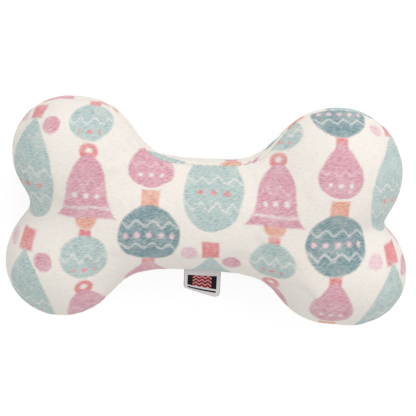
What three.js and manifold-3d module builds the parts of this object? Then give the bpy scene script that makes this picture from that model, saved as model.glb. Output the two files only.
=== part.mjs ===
// A squeaky dog toy: a stuffed fleece bone, lying on its back panel.
// Two fleece panels are sewn together inside out, turned through a gap at the top of the shank,
// stuffed round a squeaker and closed by hand. A folded label is caught in the lower seam.
// Millimetres. +X runs along the bone, +Y across it and +Z up from the back panel to the front.
import * as THREE from "three";
import { mergeVertices } from "three/addons/utils/BufferGeometryUtils.js";
import Module from "manifold-3d";

// Driving dimensions of the stuffed bone.
const SHANK_HALF_LENGTH = 55;
const SHANK_HALF_WIDTH = 32.4;
const SHANK_HALF_DEPTH = 28;
// Each knob is a short rounded bar along X: how far its middle lies past the shank's left (-) or right (+)
// end and from the spine, its radius, half its straight run and half its depth.
const KNOB_SIZES = {
  upper_left: { past: -21.7, y: 34.1, radius: 29.4, reach: 4.6, depth: 31 },
  lower_left: { past: -26.4, y: -31.2, radius: 31.2, reach: 0.2, depth: 31.4 },
  upper_right: { past: 17.5, y: 29.6, radius: 34.9, reach: 1.4, depth: 30.6 },
  lower_right: { past: 24.2, y: -29.6, radius: 29.5, reach: 6.8, depth: 30.5 },
};
// How softly the knobs run into the shank, and into each other at the two ends.
const SHOULDER_BLEND = 10;
const LEFT_NOTCH_BLEND = 6;
const RIGHT_NOTCH_BLEND = 2.5;

// Fleece panels and the seam between them.
const FLEECE_WALL = 2;
const SEAM_GROOVE_HALF_WIDTH = 1.6;
const SEAM_GROOVE_DEPTH = 2;
const SEAM_ALLOWANCE = 6;
const ALLOWANCE_THICKNESS = 1.5;
const FLOOR_CUT = 0.5;
// Over the turning gap the seam rolls towards the front, and eases back to the middle beside it.
const TURNING_GAP_X = 1;
const TURNING_GAP_HALF = 26;
const SEAM_ROLL = 8;
const SEAM_ROLL_EASE = 26;

// The clearance that touching pieces keep.
const FIT_GAP = 0.3;

// Threads.
const SEAM_THREAD_RADIUS = 0.3;
const SEAM_THREAD_DEPTH = 0.9;
const CLOSING_THREAD_RADIUS = 0.25;
const CLOSING_THREAD_DEPTH = 0.3;
const CLOSING_STITCH = 4;
const CLOSING_STITCH_SWAY = 0.4;

// The folded label, caught in the lower seam. Its left edge droops, so that it is twisted.
const LABEL_X = -0.5;
const LABEL_WIDTH = 21;
const LABEL_LENGTH = 16;
const LABEL_LAYER = 0.4;
const LABEL_OPENING = 0.5;
const LABEL_CORNER = 3;
const LABEL_TAIL_LENGTH = 5;
const LABEL_LEFT_DROOP = THREE.MathUtils.degToRad(33);
const LABEL_RIGHT_DROOP = 0;

// The stuffing, in wads: one in each knob and two round the squeaker.
const SHANK_WAD_HALF_LENGTH = 40;
const SIDE_STUFFING = 3.5;
const FACE_STUFFING = 13;

// The squeaker: a soft bulb of a crown, a folded wall and a base, with a reed whistle in its neck.
const BULB_WALL = 1;
const CROWN_DEPTH = 6;
const BASE_DEPTH = 6;
const BELLOWS_FOLD_DEPTH = 3;
const NECK_BORE_RADIUS = 5;
const NECK_LENGTH = 7;
const WHISTLE_WALL = 1;
const WHISTLE_STAND = 3;
const WHISTLE_FLANGE = 1.2;
const REED_WIDTH = 4;
const REED_THICKNESS = 0.25;
const REED_TIP_SETBACK = 1;
const REED_CHANNEL_WIDTH = 2.6;
const REED_CHANNEL_DEPTH = 1.6;
const REED_CHANNEL_END = 2;
const WEDGE_LENGTH = 4;

// Fineness of the surfaces.
const SIDE_STATIONS = 15;
const END_STATIONS = 21;
const OUTLINE_SAMPLES = 120;
const BAND_SHARES = [0.11, 0.25, 0.41, 0.59, 0.79, 1];
const TURN_WEIGHT = 14;
const THREAD_SIDES = 5;
const ROUND_SEGMENTS = 24;
const DOME_STEPS = 7;
const BELLOWS_FOLDS = 2;
const LABEL_CORNER_STEPS = 4;
const LABEL_TWIST_STEPS = 6;
const LABEL_FOLD_STEPS = 5;

const wasm = await Module();
wasm.setup();

const UP = new THREE.Vector3(0, 0, 1);

// Solids.
// A closed geometry with shared corners, no empty triangles and its faces pointing out.
function closed(geometry) {
  const bare = geometry.index ? geometry.toNonIndexed() : geometry.clone();
  bare.deleteAttribute("normal");
  bare.deleteAttribute("uv");
  const merged = mergeVertices(bare, 1e-3);
  const corner = [new THREE.Vector3(), new THREE.Vector3(), new THREE.Vector3()];
  const kept = [];
  let volume = 0;
  for (let i = 0; i < merged.index.count; i += 3) {
    const face = [0, 1, 2].map((k) => merged.index.getX(i + k));
    if (new Set(face).size < 3) continue;
    face.forEach((index, k) => corner[k].fromBufferAttribute(merged.attributes.position, index));
    volume += corner[0].dot(corner[1].clone().cross(corner[2]));
    kept.push(face);
  }
  const outward = volume > 0 ? kept : kept.map(([a, b, c]) => [a, c, b]);
  merged.setIndex(outward.flat());
  return merged;
}

function toSolid(geometry) {
  const shape = closed(geometry);
  return new wasm.Manifold(new wasm.Mesh({
    numProp: 3,
    vertProperties: new Float32Array(shape.attributes.position.array),
    triVerts: new Uint32Array(shape.index.array),
  }));
}

function toGeometry(solid) {
  const mesh = solid.getMesh();
  const geometry = new THREE.BufferGeometry();
  geometry.setAttribute("position", new THREE.BufferAttribute(mesh.vertProperties, 3));
  geometry.setIndex(new THREE.BufferAttribute(mesh.triVerts, 1));
  return geometry;
}

function boxBetween(low, high) {
  const size = high.clone().sub(low);
  const middle = low.clone().add(high).multiplyScalar(0.5);
  return new THREE.BoxGeometry(size.x, size.y, size.z).translate(middle.x, middle.y, middle.z);
}

// Fans a convex ring into triangles.
function fanFaces(ring) {
  return ring.slice(2).map((_, i) => [0, i + 1, i + 2]);
}

// How far a ring has climbed from the seam, inwards or away from the seam plane.
function climbOf(ring) {
  return ring.reduce((sum, point) => sum + Math.abs(point.z) - Math.hypot(point.x, point.y), 0);
}

// Joins rings of equal counts into one closed skin, which a flat cap or a ridge closes at each end.
// Diagonals run the same way up from the seam on every layer, so nested layers stay parallel.
function skin(rings, capFaces = []) {
  const count = rings[0].length;
  const last = (rings.length - 1) * count;
  const faces = [...capFaces];
  for (let r = 0; r + 1 < rings.length; r += 1) {
    const rises = climbOf(rings[r + 1]) > climbOf(rings[r]);
    for (let i = 0; i < count; i += 1) {
      const [a, b] = [r * count + i, r * count + ((i + 1) % count)];
      if (rises) faces.push([a, a + count, b + count], [a, b + count, b]);
      else faces.push([a, a + count, b], [b, a + count, b + count]);
    }
  }
  capFaces.forEach(([a, b, c]) => faces.push([last + a, last + c, last + b]));
  const geometry = new THREE.BufferGeometry();
  geometry.setFromPoints(rings.flat());
  geometry.setIndex(faces.flat());
  return closed(geometry);
}

// A round tube through a line of points, with flat ends.
function tube(points, radius) {
  const across = new THREE.Vector3();
  const rings = points.map((point, i) => {
    const along = points[Math.min(i + 1, points.length - 1)].clone();
    along.sub(points[Math.max(i - 1, 0)]).normalize();
    across.crossVectors(along, UP).normalize();
    const rise = new THREE.Vector3().crossVectors(across, along);
    return Array.from({ length: THREAD_SIDES }, (_, k) => {
      const angle = (2 * Math.PI * k) / THREAD_SIDES;
      return point.clone()
        .addScaledVector(across, radius * Math.cos(angle))
        .addScaledVector(rise, radius * Math.sin(angle));
    });
  });
  return skin(rings, fanFaces(rings[0]));
}

// A profile of (radius, height) points turned round the Z axis.
function turned(profile) {
  const points = profile.map(([radius, height]) => new THREE.Vector2(radius, height));
  return closed(new THREE.LatheGeometry(points, ROUND_SEGMENTS).rotateX(Math.PI / 2));
}

// The stuffed form: how far a point is outside it, measured across the bone.
const SHANK = {
  x: 0, y: 0, radius: SHANK_HALF_WIDTH, reach: SHANK_HALF_LENGTH, depth: SHANK_HALF_DEPTH,
};
const KNOBS = Object.fromEntries(Object.entries(KNOB_SIZES).map(([name, knob]) => {
  return [name, { ...knob, x: Math.sign(knob.past) * SHANK_HALF_LENGTH + knob.past }];
}));
const BEYOND = 2 * Math.max(...Object.values(KNOBS).map((knob) => {
  return Math.hypot(knob.x, knob.y) + knob.reach + knob.radius;
}));

function outsideBar(bar, point) {
  const along = THREE.MathUtils.clamp(point.x, bar.x - bar.reach, bar.x + bar.reach);
  const across = Math.hypot(point.x - along, point.y - bar.y);
  return (Math.hypot(across / bar.radius, point.z / bar.depth) - 1) * bar.radius;
}

function blended(distances, softness) {
  const nearest = Math.min(...distances);
  const shares = distances.map((distance) => Math.exp((nearest - distance) / softness));
  return nearest - softness * Math.log(shares.reduce((sum, share) => sum + share, 0));
}

function outside(point) {
  const knobs = (...names) => names.map((name) => outsideBar(KNOBS[name], point));
  const left = blended(knobs("upper_left", "lower_left"), LEFT_NOTCH_BLEND);
  const right = blended(knobs("upper_right", "lower_right"), RIGHT_NOTCH_BLEND);
  return blended([left, right, outsideBar(SHANK, point)], SHOULDER_BLEND);
}

// Where a ray from inside the form comes out of it.
function castOut(origin, direction) {
  let [near, far] = [0, BEYOND];
  const point = new THREE.Vector3();
  while (far - near > 1e-5) {
    const middle = (near + far) / 2;
    point.copy(origin).addScaledVector(direction, middle);
    if (outside(point) < 0) near = middle;
    else far = middle;
  }
  return point;
}

function normalAt(point) {
  const step = 0.05;
  const slope = ["x", "y", "z"].map((axis) => {
    const ahead = point.clone();
    const behind = point.clone();
    ahead[axis] += step;
    behind[axis] -= step;
    return outside(ahead) - outside(behind);
  });
  return new THREE.Vector3(...slope).normalize();
}

// Stations round the outline, anticlockwise seen from the front: along the lower edge of the shank,
// round the right end, back along the upper edge and round the left end. A share of 1 ends each.
const lowerEdge = (share) => ({ x: shankRun(share), heading: -Math.PI / 2, roll: 0 });
const rightEnd = (share) => ({ x: shankRun(1), heading: (share - 0.5) * Math.PI, roll: 0 });
const upperEdge = (share) => {
  return { x: shankRun(share), heading: Math.PI / 2, roll: seamRoll(shankRun(share)) };
};
const leftEnd = (share) => ({ x: shankRun(0), heading: (share + 0.5) * Math.PI, roll: 0 });

function shankRun(share) {
  return THREE.MathUtils.lerp(-SHANK_HALF_LENGTH, SHANK_HALF_LENGTH, share);
}

// How far the seam lies towards the front, along the upper edge.
function seamRoll(x) {
  const beside = Math.abs(x - TURNING_GAP_X);
  const end = TURNING_GAP_HALF + SEAM_ROLL_EASE;
  return SEAM_ROLL * (1 - THREE.MathUtils.smoothstep(beside, TURNING_GAP_HALF, end));
}

// A point of the surface at a height over the seam plane.
function levelPoint({ x, heading }, height) {
  const direction = new THREE.Vector3(Math.cos(heading), Math.sin(heading), 0);
  return castOut(new THREE.Vector3(x, 0, height), direction);
}

// A point of the surface at an elevation over the seam plane, seen from the middle of the bone.
function risingPoint({ x, heading }, elevation) {
  const flat = Math.cos(elevation);
  const direction = new THREE.Vector3(
    flat * Math.cos(heading), flat * Math.sin(heading), Math.sin(elevation));
  return castOut(new THREE.Vector3(x, 0, 0), direction);
}

// Shares of a stretch, spaced by length and by turn, so that round places get more of them.
// Where two edges are given, both take the same shares.
function spacedShares(edges, count) {
  const measure = Array(OUTLINE_SAMPLES + 1).fill(0);
  for (const edge of edges) {
    const spots = measure.map((_, i) => levelPoint(edge(i / OUTLINE_SAMPLES), 0));
    const steps = spots.slice(1).map((spot, i) => spot.clone().sub(spots[i]));
    let sum = 0;
    steps.forEach((step, i) => {
      sum += step.length() + TURN_WEIGHT * step.angleTo(steps[Math.max(i - 1, 0)]);
      measure[i + 1] += sum;
    });
  }
  let i = 0;
  return Array.from({ length: count }, (_, k) => {
    const goal = (measure.at(-1) * k) / count;
    while (measure[i + 1] < goal) i += 1;
    return (i + (goal - measure[i]) / (measure[i + 1] - measure[i])) / OUTLINE_SAMPLES;
  });
}

const sideShares = spacedShares([lowerEdge, upperEdge], SIDE_STATIONS);
const stations = [
  ...sideShares.map(lowerEdge),
  ...spacedShares([rightEnd], END_STATIONS).map(rightEnd),
  ...[...sideShares.slice(1), 1].reverse().map(upperEdge),
  ...spacedShares([leftEnd], END_STATIONS).map(leftEnd),
];

// The seam: its points on the outline, each with the level direction into the bone.
const seam = stations.map((station) => {
  const point = levelPoint(station, station.roll);
  const inward = normalAt(point).setZ(0).normalize().negate();
  return { point, inward };
});

function seamRing(depth, rise) {
  return seam.map(({ point, inward }) => {
    return point.clone().addScaledVector(inward, depth).addScaledVector(UP, rise);
  });
}

// The surface above the seam (side 1) or under it (side -1), in rings from the seam to the ridge.
function surfaceRings(side) {
  return BAND_SHARES.map((share) => stations.map((station, i) => {
    const start = station.roll > 0 ? Math.atan2(station.roll, seam[i].point.y) : 0;
    const point = risingPoint(station, THREE.MathUtils.lerp(start, (side * Math.PI) / 2, share));
    return { point, normal: normalAt(point) };
  }));
}

const surface = { 1: surfaceRings(1), [-1]: surfaceRings(-1) };

function sunkRings(side, depth) {
  return surface[side].map((ring) => ring.map(({ point, normal }) => {
    return point.clone().addScaledVector(normal, -depth);
  }));
}

// A fleece panel: its outside, the groove at the seam, the allowance turned in, and its inside.
const ALLOWANCE_END = SEAM_GROOVE_DEPTH + SEAM_ALLOWANCE;
const ALLOWANCE_ROOT = SEAM_GROOVE_DEPTH + ALLOWANCE_THICKNESS;
const ALLOWANCE_TOP = FIT_GAP / 2 + ALLOWANCE_THICKNESS;
const GROOVE_ROUND = 0.4;

function panelRings(side) {
  const lip = stations.map((station) => {
    return levelPoint(station, station.roll + side * SEAM_GROOVE_HALF_WIDTH);
  });
  const rings = [
    ...sunkRings(side, 0).reverse(),
    lip,
    seamRing(GROOVE_ROUND * SEAM_GROOVE_DEPTH, side * (1 - GROOVE_ROUND) * SEAM_GROOVE_HALF_WIDTH),
    seamRing(SEAM_GROOVE_DEPTH, (side * FIT_GAP) / 2),
    seamRing(ALLOWANCE_END, (side * FIT_GAP) / 2),
    seamRing(ALLOWANCE_END, side * ALLOWANCE_TOP),
    seamRing(ALLOWANCE_ROOT, side * ALLOWANCE_TOP),
    ...sunkRings(side, FLEECE_WALL),
  ];
  return side > 0 ? rings : rings.reverse();
}

// The flat on which the toy rests: every knob is cut, the shallowest by FLOOR_CUT.
const backPoints = sunkRings(-1, 0).flat();
const FLOOR = FLOOR_CUT + Math.max(...Object.values(KNOBS).map((knob) => {
  const own = backPoints.filter((p) => p.x * knob.x > 0 && p.y * knob.y > 0);
  return Math.min(...own.map((p) => p.z));
}));
const underFloor = toSolid(boxBetween(
  new THREE.Vector3(-BEYOND, -BEYOND, FLOOR - BEYOND), new THREE.Vector3(BEYOND, BEYOND, FLOOR)));

// The label: two layers folded at the outer end, and the tail that the seam holds.
const labelSeam = levelPoint({ x: LABEL_X, heading: -Math.PI / 2 }, 0);
const LABEL_HALF_THICKNESS = LABEL_LAYER + LABEL_OPENING / 2;
const LABEL_STRAIGHT_HALF = LABEL_WIDTH / 2 - LABEL_CORNER;

// Places across the label, from left to right and closer together round its corners.
function labelPlaces() {
  const corner = Array.from({ length: LABEL_CORNER_STEPS }, (_, i) => {
    return LABEL_STRAIGHT_HALF + LABEL_CORNER * Math.cos((Math.PI * i) / (2 * LABEL_CORNER_STEPS));
  });
  const middle = Array.from({ length: LABEL_TWIST_STEPS + 1 }, (_, i) => {
    return LABEL_STRAIGHT_HALF * ((2 * i) / LABEL_TWIST_STEPS - 1);
  });
  return [...corner.map((place) => -place), ...middle, ...corner.reverse()];
}

// The folded section at a place across the label, as (outwards, up) points.
function labelSection(place) {
  const round = Math.max(0, Math.abs(place) - LABEL_STRAIGHT_HALF);
  const cornerCut = LABEL_CORNER - Math.sqrt(LABEL_CORNER ** 2 - round ** 2);
  const end = LABEL_LENGTH - LABEL_HALF_THICKNESS - cornerCut;
  const inner = LABEL_OPENING / 2;
  const fold = new THREE.Shape();
  fold.moveTo(0, -LABEL_HALF_THICKNESS);
  fold.lineTo(end, -LABEL_HALF_THICKNESS);
  fold.absarc(end, 0, LABEL_HALF_THICKNESS, -Math.PI / 2, Math.PI / 2, false);
  fold.lineTo(0, LABEL_HALF_THICKNESS);
  fold.lineTo(0, inner);
  fold.absarc(end, 0, inner, Math.PI / 2, -Math.PI / 2, true);
  fold.lineTo(0, -inner);
  return fold.getPoints(LABEL_FOLD_STEPS);
}

// The triangles of a flat section, turned the way that its points run.
function sectionFaces(section) {
  const { area, triangulateShape } = THREE.ShapeUtils;
  const runsLeft = area(section) > 0;
  return triangulateShape(section, []).map(([a, b, c]) => {
    return area([section[a], section[b], section[c]]) > 0 === runsLeft ? [a, b, c] : [a, c, b];
  });
}

function labelFlap() {
  const places = labelPlaces();
  const rings = places.map((place) => {
    const droop = THREE.MathUtils.lerp(LABEL_LEFT_DROOP, LABEL_RIGHT_DROOP, place / LABEL_WIDTH + 0.5);
    const outwards = new THREE.Vector3(0, -Math.cos(droop), -Math.sin(droop));
    const upwards = new THREE.Vector3(0, -Math.sin(droop), Math.cos(droop));
    return labelSection(place).map((spot) => {
      return new THREE.Vector3(place, 0, 0).add(labelSeam)
        .addScaledVector(outwards, spot.x).addScaledVector(upwards, spot.y);
    });
  });
  return skin(rings, sectionFaces(labelSection(places[0])));
}

const tailStart = SEAM_THREAD_DEPTH + SEAM_THREAD_RADIUS + FIT_GAP;

function labelTail(clearance) {
  const reach = new THREE.Vector3(LABEL_WIDTH / 2, 0, LABEL_LAYER).addScalar(clearance);
  const low = new THREE.Vector3(-reach.x, tailStart - clearance, -reach.z);
  const high = new THREE.Vector3(reach.x, tailStart + LABEL_TAIL_LENGTH + clearance, reach.z);
  return boxBetween(low, high).translate(labelSeam.x, labelSeam.y, 0);
}

const labelRoom = toSolid(labelTail(FIT_GAP));

function frontPanel() {
  return toGeometry(toSolid(skin(panelRings(1))).subtract(labelRoom));
}

function backPanel() {
  const sewn = toSolid(skin(panelRings(-1))).subtract(labelRoom);
  return toGeometry(sewn.subtract(underFloor));
}

// The squeaker stands in the middle of the shank, with its axis along Z.
const SQUEAKER_RADIUS = SHANK_HALF_WIDTH - ALLOWANCE_END - SIDE_STUFFING;
const SQUEAKER_HALF_HEIGHT = SHANK_HALF_DEPTH - FLEECE_WALL - FACE_STUFFING;
const CROWN_RIM = SQUEAKER_HALF_HEIGHT - CROWN_DEPTH;
const BASE_RIM = -SQUEAKER_HALF_HEIGHT + BASE_DEPTH;
const NECK_RADIUS = NECK_BORE_RADIUS + BULB_WALL;
const NECK_END = -SQUEAKER_HALF_HEIGHT - NECK_LENGTH;
const WHISTLE_RADIUS = NECK_BORE_RADIUS - FIT_GAP;
const WHISTLE_BORE = WHISTLE_RADIUS - WHISTLE_WALL;
const WHISTLE_TOP = -SQUEAKER_HALF_HEIGHT + BULB_WALL + WHISTLE_STAND;
const WHISTLE_SHOULDER = NECK_END - FIT_GAP;
const WHISTLE_END = WHISTLE_SHOULDER - WHISTLE_FLANGE;

// A dome of (radius, height) points from a start radius out to its rim.
function dome(radius, rim, depth, startRadius) {
  const start = Math.asin(startRadius / radius);
  return Array.from({ length: DOME_STEPS + 1 }, (_, i) => {
    const angle = THREE.MathUtils.lerp(start, Math.PI / 2, i / DOME_STEPS);
    return [radius * Math.sin(angle), rim + depth * Math.cos(angle)];
  });
}

function squeakerCrown() {
  const over = dome(SQUEAKER_RADIUS, CROWN_RIM, CROWN_DEPTH, 0);
  const under = dome(SQUEAKER_RADIUS - BULB_WALL, CROWN_RIM, CROWN_DEPTH - BULB_WALL, 0);
  return turned([...over, ...under.reverse()]);
}

function squeakerBase() {
  const under = dome(SQUEAKER_RADIUS, BASE_RIM, -BASE_DEPTH, NECK_RADIUS);
  const over = dome(SQUEAKER_RADIUS - BULB_WALL, BASE_RIM, BULB_WALL - BASE_DEPTH, NECK_BORE_RADIUS);
  const profile = [[NECK_BORE_RADIUS, NECK_END], [NECK_RADIUS, NECK_END], ...under, ...over.reverse()];
  return turned([...profile, profile[0]]);
}

function squeakerBellows() {
  const [low, high] = [BASE_RIM + FIT_GAP, CROWN_RIM - FIT_GAP];
  const steps = 2 * BELLOWS_FOLDS;
  const outer = Array.from({ length: steps + 1 }, (_, i) => {
    const fold = i % 2 === 0 ? 0 : BELLOWS_FOLD_DEPTH;
    return [SQUEAKER_RADIUS - fold, THREE.MathUtils.lerp(low, high, i / steps)];
  });
  const inner = outer.map(([radius, height]) => [radius - BULB_WALL, height]).reverse();
  return turned([...outer, ...inner, outer[0]]);
}

function whistleBody() {
  const profile = [
    [WHISTLE_BORE, WHISTLE_END],
    [NECK_RADIUS, WHISTLE_END],
    [NECK_RADIUS, WHISTLE_SHOULDER],
    [WHISTLE_RADIUS, WHISTLE_SHOULDER],
    [WHISTLE_RADIUS, WHISTLE_TOP],
    [WHISTLE_BORE, WHISTLE_TOP],
  ];
  return turned([...profile, profile[0]]);
}

// The reed lies on a half-round seat with an air channel, and a wedge holds its lower end.
const REED_FACE = FIT_GAP;
const WEDGE_FACE = REED_FACE + REED_THICKNESS + FIT_GAP;
const BORE_FILLER = WHISTLE_BORE - FIT_GAP;

function reedSeat() {
  const half = new THREE.Shape();
  half.absarc(0, 0, BORE_FILLER, Math.PI, 2 * Math.PI, false);
  const length = WHISTLE_TOP - WHISTLE_END;
  const bar = new THREE.ExtrudeGeometry(half, { depth: length, bevelEnabled: false, curveSegments: 10 });
  bar.translate(0, 0, WHISTLE_END);
  const channel = boxBetween(
    new THREE.Vector3(-REED_CHANNEL_WIDTH / 2, -REED_CHANNEL_DEPTH, WHISTLE_END - 1),
    new THREE.Vector3(REED_CHANNEL_WIDTH / 2, 1, WHISTLE_TOP - REED_CHANNEL_END));
  return toGeometry(toSolid(bar).subtract(toSolid(channel)));
}

function reedWedge() {
  const start = Math.asin(WEDGE_FACE / BORE_FILLER);
  const segment = new THREE.Shape();
  segment.absarc(0, 0, BORE_FILLER, start, Math.PI - start, false);
  return new THREE.ExtrudeGeometry(segment, {
    depth: WEDGE_LENGTH, bevelEnabled: false, curveSegments: 8,
  }).translate(0, 0, WHISTLE_END);
}

function reed() {
  return boxBetween(
    new THREE.Vector3(-REED_WIDTH / 2, REED_FACE, WHISTLE_END),
    new THREE.Vector3(REED_WIDTH / 2, REED_FACE + REED_THICKNESS, WHISTLE_TOP - REED_TIP_SETBACK));
}

// The room that the squeaker takes in the stuffing.
function squeakerRoom() {
  const radius = SQUEAKER_RADIUS + FIT_GAP;
  const over = dome(radius, CROWN_RIM, CROWN_DEPTH + FIT_GAP, 0);
  const under = dome(radius, BASE_RIM, -BASE_DEPTH - FIT_GAP, NECK_RADIUS + FIT_GAP);
  const foot = WHISTLE_END - FIT_GAP;
  return turned([...over, ...under.reverse(), [NECK_RADIUS + FIT_GAP, foot], [0, foot]]);
}

// The stuffing fills the panels, with a slot round the seam allowances.
function stuffing() {
  const depth = FLEECE_WALL + FIT_GAP;
  const slot = ALLOWANCE_TOP + FIT_GAP;
  return toSolid(skin([
    ...sunkRings(1, depth).reverse(),
    seamRing(ALLOWANCE_ROOT + FIT_GAP, slot),
    seamRing(ALLOWANCE_END + FIT_GAP, slot),
    seamRing(ALLOWANCE_END + FIT_GAP, -slot),
    seamRing(ALLOWANCE_ROOT + FIT_GAP, -slot),
    ...sunkRings(-1, depth),
  ]));
}

const core = stuffing().subtract(underFloor.translate([0, 0, FLEECE_WALL]));
const HALF_GAP = FIT_GAP / 2;

function wadBetween(low, high) {
  return core.intersect(toSolid(boxBetween(new THREE.Vector3(...low), new THREE.Vector3(...high))));
}

// One knob's wad: the quarter of the stuffing past the shank's wads.
function knobWad(knob) {
  const range = (sign, start) => [sign * start, sign * BEYOND].sort((a, b) => a - b);
  const [left, right] = range(Math.sign(knob.x), SHANK_WAD_HALF_LENGTH + HALF_GAP);
  const [lower, upper] = range(Math.sign(knob.y), HALF_GAP);
  return toGeometry(wadBetween([left, lower, -BEYOND], [right, upper, BEYOND]));
}

// One of the shank's two wads, over or under the seam plane, hollowed for the squeaker.
function shankWad(side) {
  const half = SHANK_WAD_HALF_LENGTH - HALF_GAP;
  const [low, high] = side > 0 ? [HALF_GAP, BEYOND] : [-BEYOND, -HALF_GAP];
  const wad = wadBetween([-half, -BEYOND, low], [half, BEYOND, high]);
  return toGeometry(wad.subtract(toSolid(squeakerRoom())));
}

// The machine seam runs in the groove from one end of the turning gap round to the other.
// Points of the seam over the turning gap lie on its upper edge, between these ends.
const GAP_LEFT = TURNING_GAP_X - TURNING_GAP_HALF;
const GAP_RIGHT = TURNING_GAP_X + TURNING_GAP_HALF;

function upperSeamAt(x, depth, rise) {
  const index = seam.findIndex(({ point }, i) => {
    const next = seam[(i + 1) % seam.length].point;
    return point.y > 0 && point.x >= x && next.x < x;
  });
  const [here, next] = [seam[index], seam[(index + 1) % seam.length]];
  const share = (here.point.x - x) / (here.point.x - next.point.x);
  const inward = here.inward.clone().lerp(next.inward, share);
  return here.point.clone().lerp(next.point, share)
    .addScaledVector(inward, depth).addScaledVector(UP, rise);
}

function seamThread() {
  const ring = seamRing(SEAM_THREAD_DEPTH, 0);
  const overGap = (p) => p.y > 0 && p.x > GAP_LEFT && p.x < GAP_RIGHT;
  const first = ring.findIndex((p, i) => !overGap(p) && overGap(ring.at(i - 1)));
  const around = [...ring.slice(first), ...ring.slice(0, first)].filter((p) => !overGap(p));
  const start = upperSeamAt(GAP_LEFT - FIT_GAP, SEAM_THREAD_DEPTH, 0);
  const end = upperSeamAt(GAP_RIGHT + FIT_GAP, SEAM_THREAD_DEPTH, 0);
  const clear = (p) => p.distanceTo(start) > FIT_GAP && p.distanceTo(end) > FIT_GAP;
  return tube([start, ...around.filter(clear), end], SEAM_THREAD_RADIUS);
}

// The closing stitches sway from lip to lip over the turning gap.
function closingThread() {
  const count = Math.round((2 * TURNING_GAP_HALF) / CLOSING_STITCH);
  const inset = SEAM_THREAD_RADIUS + FIT_GAP;
  const points = Array.from({ length: 2 * count + 1 }, (_, i) => {
    const x = THREE.MathUtils.lerp(GAP_LEFT + inset, GAP_RIGHT - inset, i / (2 * count));
    const sway = i % 2 === 0 ? CLOSING_STITCH_SWAY : -CLOSING_STITCH_SWAY;
    return upperSeamAt(x, CLOSING_THREAD_DEPTH, sway);
  });
  return tube(points, CLOSING_THREAD_RADIUS);
}

// Materials.
function finish(color, roughness) {
  return new THREE.MeshStandardMaterial({ color, roughness, metalness: 0 });
}

const fleece = finish(0xefe8e0, 0.95);
const thread = finish(0xe9e2d8, 0.8);
const wovenLabel = finish(0xe6dfce, 0.8);
const fibre = finish(0xf6f5f2, 1);
const softPlastic = finish(0xdfe3e4, 0.4);
const hardPlastic = finish(0xf2f1ec, 0.35);
const film = finish(0xcfd6da, 0.25);

function piece(name, geometry, material) {
  const mesh = new THREE.Mesh(closed(geometry), material);
  mesh.name = name;
  return mesh;
}

// Assembly.
const toy = new THREE.Group();
toy.add(
  piece("front_panel", frontPanel(), fleece),
  piece("back_panel", backPanel(), fleece),
  piece("seam_thread", seamThread(), thread),
  piece("closing_thread", closingThread(), thread),
  piece("label_tail", labelTail(0), wovenLabel),
  piece("label_flap", labelFlap(), wovenLabel),
  ...Object.entries(KNOBS).map(([name, knob]) => piece(`${name}_fill`, knobWad(knob), fibre)),
  piece("shank_front_fill", shankWad(1), fibre),
  piece("shank_back_fill", shankWad(-1), fibre),
  piece("squeaker_crown", squeakerCrown(), softPlastic),
  piece("squeaker_bellows", squeakerBellows(), softPlastic),
  piece("squeaker_base", squeakerBase(), softPlastic),
  piece("whistle_body", whistleBody(), hardPlastic),
  piece("reed_seat", reedSeat(), hardPlastic),
  piece("reed_wedge", reedWedge(), hardPlastic),
  piece("reed", reed(), film),
);

// The toy stands with the middle of its box over the origin.
const box = new THREE.Box3().setFromObject(toy);
toy.position.set(-(box.min.x + box.max.x) / 2, -(box.min.y + box.max.y) / 2, -box.min.z);

export default toy;
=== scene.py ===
# A squeaky dog toy: a stuffed fleece bone that lies on its back panel on a pale studio floor.
# Metres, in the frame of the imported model: +X along the bone, +Y to its hand-closed edge, +Z up.
import math

import bmesh
import bpy
import numpy as np
from mathutils import Matrix, Vector, noise


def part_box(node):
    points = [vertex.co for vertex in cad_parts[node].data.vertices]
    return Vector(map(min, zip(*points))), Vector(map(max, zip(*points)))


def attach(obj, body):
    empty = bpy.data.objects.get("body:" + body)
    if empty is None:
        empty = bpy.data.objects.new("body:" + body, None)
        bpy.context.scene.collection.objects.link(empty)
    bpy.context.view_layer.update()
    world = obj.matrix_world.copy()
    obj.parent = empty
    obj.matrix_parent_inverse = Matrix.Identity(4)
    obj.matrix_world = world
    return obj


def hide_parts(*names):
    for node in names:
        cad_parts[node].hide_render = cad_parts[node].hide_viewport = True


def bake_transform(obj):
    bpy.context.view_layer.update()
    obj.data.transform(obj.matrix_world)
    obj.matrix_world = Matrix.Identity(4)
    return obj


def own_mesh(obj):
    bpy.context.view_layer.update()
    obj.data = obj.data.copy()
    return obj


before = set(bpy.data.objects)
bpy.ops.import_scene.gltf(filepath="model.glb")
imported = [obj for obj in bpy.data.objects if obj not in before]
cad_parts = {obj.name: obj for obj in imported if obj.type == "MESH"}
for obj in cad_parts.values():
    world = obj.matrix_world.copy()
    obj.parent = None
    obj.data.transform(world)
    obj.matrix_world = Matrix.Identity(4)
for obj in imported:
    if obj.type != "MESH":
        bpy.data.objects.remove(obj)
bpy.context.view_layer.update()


# The studio. The camera stands high over the toy and leans back over its hand-closed edge.
# The floor is pale and shows as white but for the toy's shadow, and a wide soft lamp lights the toy
# from the top of the picture.
view_tilt = math.radians(15)
view_roll = math.radians(2.875)
view_distance = 1.2
picture_width = 0.2366
sensor_width = 36
aim_height = 0.0324
aim_right = -0.00047
aim_up = 0.00312

scene = bpy.context.scene
scene.view_settings.view_transform = "Standard"


def put_in_scene(name, data):
    thing = bpy.data.objects.new(name, data)
    scene.collection.objects.link(thing)
    return thing


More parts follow.
